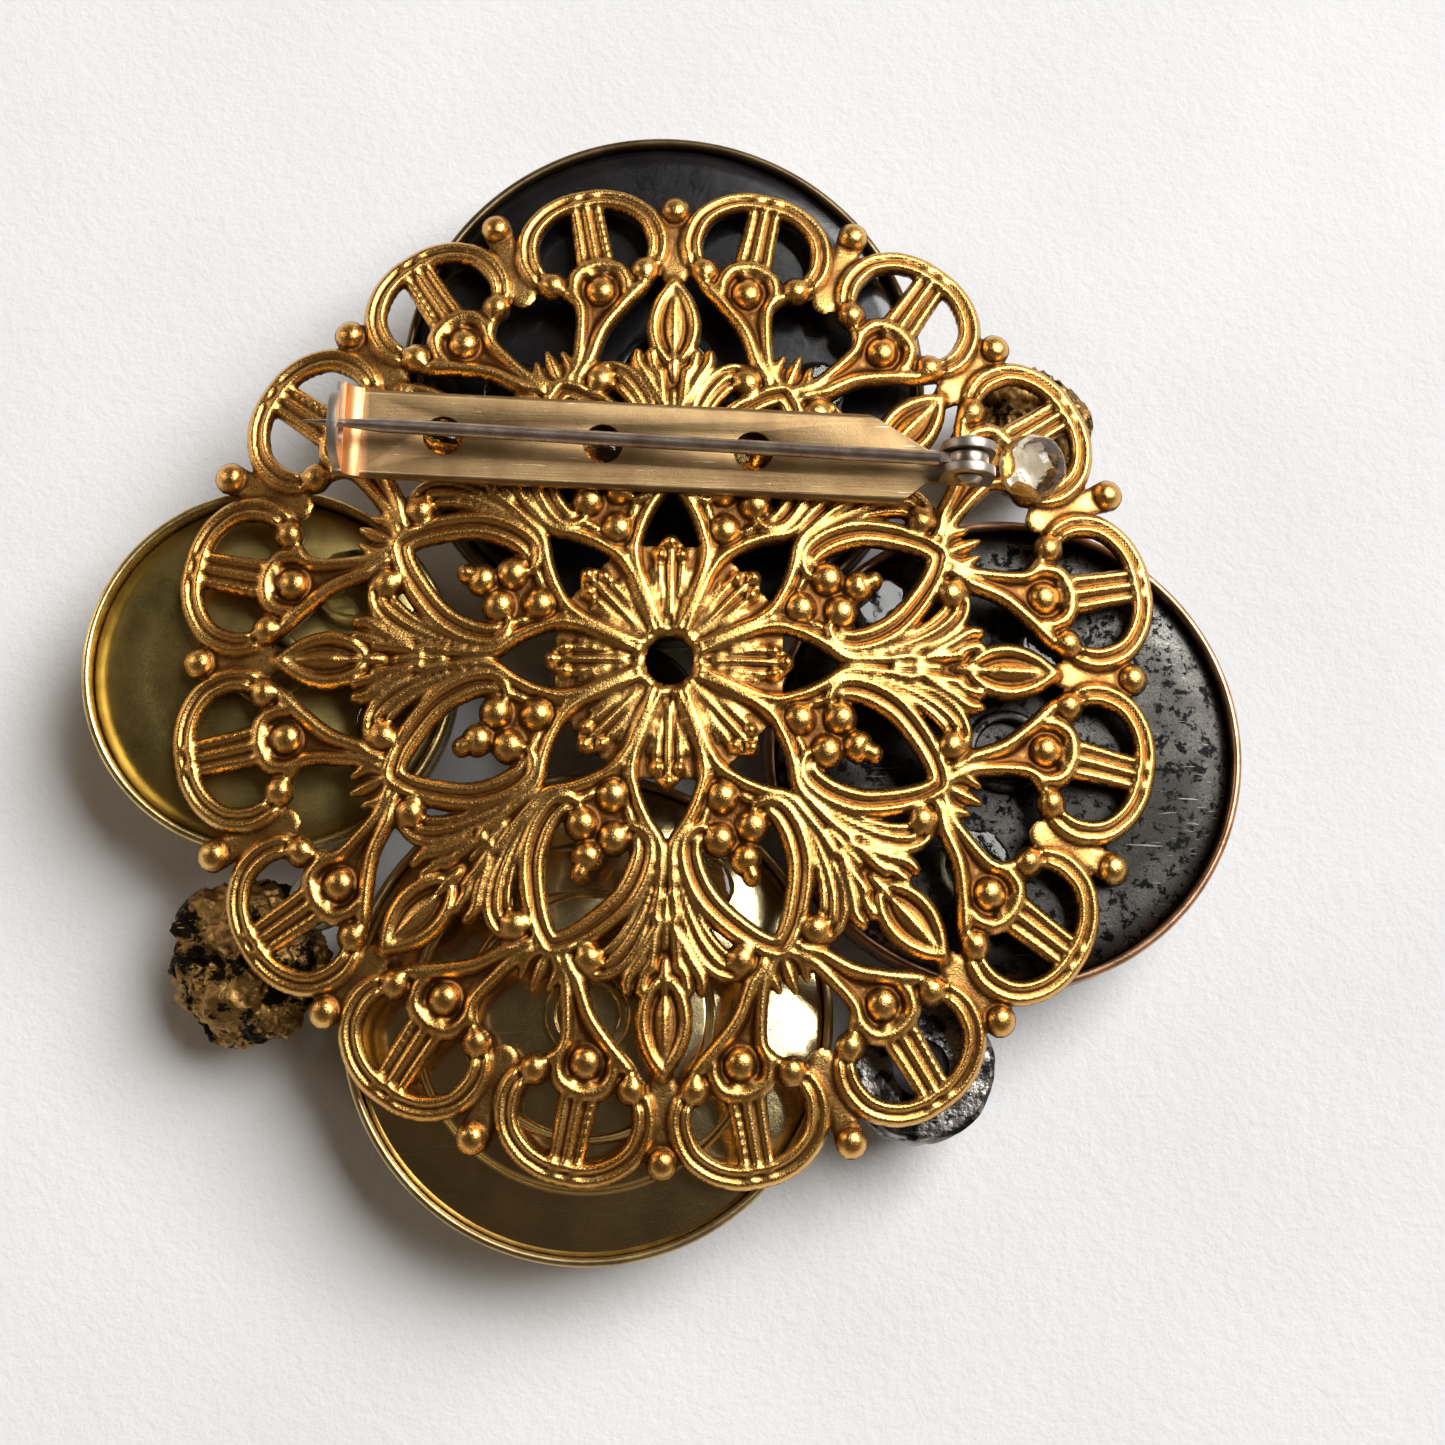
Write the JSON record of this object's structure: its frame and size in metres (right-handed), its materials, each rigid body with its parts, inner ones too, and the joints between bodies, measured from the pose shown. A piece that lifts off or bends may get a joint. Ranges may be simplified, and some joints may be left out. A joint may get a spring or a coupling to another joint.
{
  "type": "brooch",
  "caption": "Round domed filigree backing with a bar pin across it, glued over a cluster of old metal buttons and small stones, modelled face down with its pin up.",
  "frame": {"origin": "the middle of the filigree's centre hole, at half the sheet's thickness", "axes": "+Z out of the back of the brooch (the pin's side, face down), +X along the bar towards its hinge, +Y the top of the brooch as it lies"},
  "size_m": [0.066, 0.0655, 0.0154],
  "materials": {
    "antique_gilt": "pierced gilt stamping, bright on the ridges, brown in the recesses",
    "bar_brass": "dull lacquered brass strip",
    "pin_steel": "drawn wire, brownish grey",
    "rivet_steel": "bright worn steel",
    "black_japan": "glossy black lacquer",
    "bronze_rim": "dull bronze",
    "top_front_brass": "antique brass",
    "worn_black_steel": "black paint worn to grey steel",
    "copper_rim": "copper-coloured rim",
    "right_front_steel": "darkened steel",
    "olive_brass": "satin olive brass",
    "gilt_rim": "thin gilt edge",
    "left_front_gilt": "gilt brass",
    "polished_brass": "polished pale brass",
    "brass_rim": "brass rim",
    "bottom_front_brass": "antique brass",
    "rough_gold": "rough antique gold with dark pits",
    "grey_crystal": "smoky cut crystal",
    "dark_setting": "dark metal setting",
    "black_glass": "black glass",
    "bezel_brass": "dark brass cup",
    "clear_glue": "clear set glue, slightly yellow",
    "amber_glue": "amber set glue"
  },
  "bodies": {
    "brooch": {"filigree_backing": "antique_gilt", "pin_bar": "bar_brass", "top_button_back_plate": "black_japan", "top_button_rim": "bronze_rim", "top_button_front": "top_front_brass", "top_button_shank": "black_japan", "right_button_back_plate": "worn_black_steel", "right_button_rim": "copper_rim", "right_button_front": "right_front_steel", "right_button_shank": "worn_black_steel", "left_button_back_plate": "olive_brass", "left_button_rim": "gilt_rim", "left_button_front": "left_front_gilt", "left_button_shank": "olive_brass", "bottom_button_back_plate": "polished_brass", "bottom_button_rim": "brass_rim", "bottom_button_front": "bottom_front_brass", "bottom_button_shank": "polished_brass", "southwest_nugget": "rough_gold", "northeast_nugget": "rough_gold", "southeast_stone": "grey_crystal", "southeast_stone_setting": "dark_setting", "centre_cabochon": "black_glass", "centre_cabochon_bezel": "bezel_brass", "filigree_adhesive": "clear_glue", "bar_adhesive": "amber_glue", "hinge_adhesive": "clear_glue"},
    "pin_pivot": {"hinge_rivet": "rivet_steel"},
    "pin": {"pin_stem": "pin_steel"}
  },
  "joints": [
    {"name": "pin_swing", "type": "hinge", "parent": "brooch", "child": "pin_pivot", "pos_m": [0.01638, 0.01115, 0.0024], "axis": [0.0305, 0.9995, 0], "range_deg": [0, 110]},
    {"name": "catch_release", "type": "hinge", "parent": "pin_pivot", "child": "pin", "pos_m": [0.01638, 0.01115, 0.0024], "axis": [0, 0, -1], "range_deg": [0, 3.8], "stiffness_Nm_per_rad": 0.01}
  ]
}
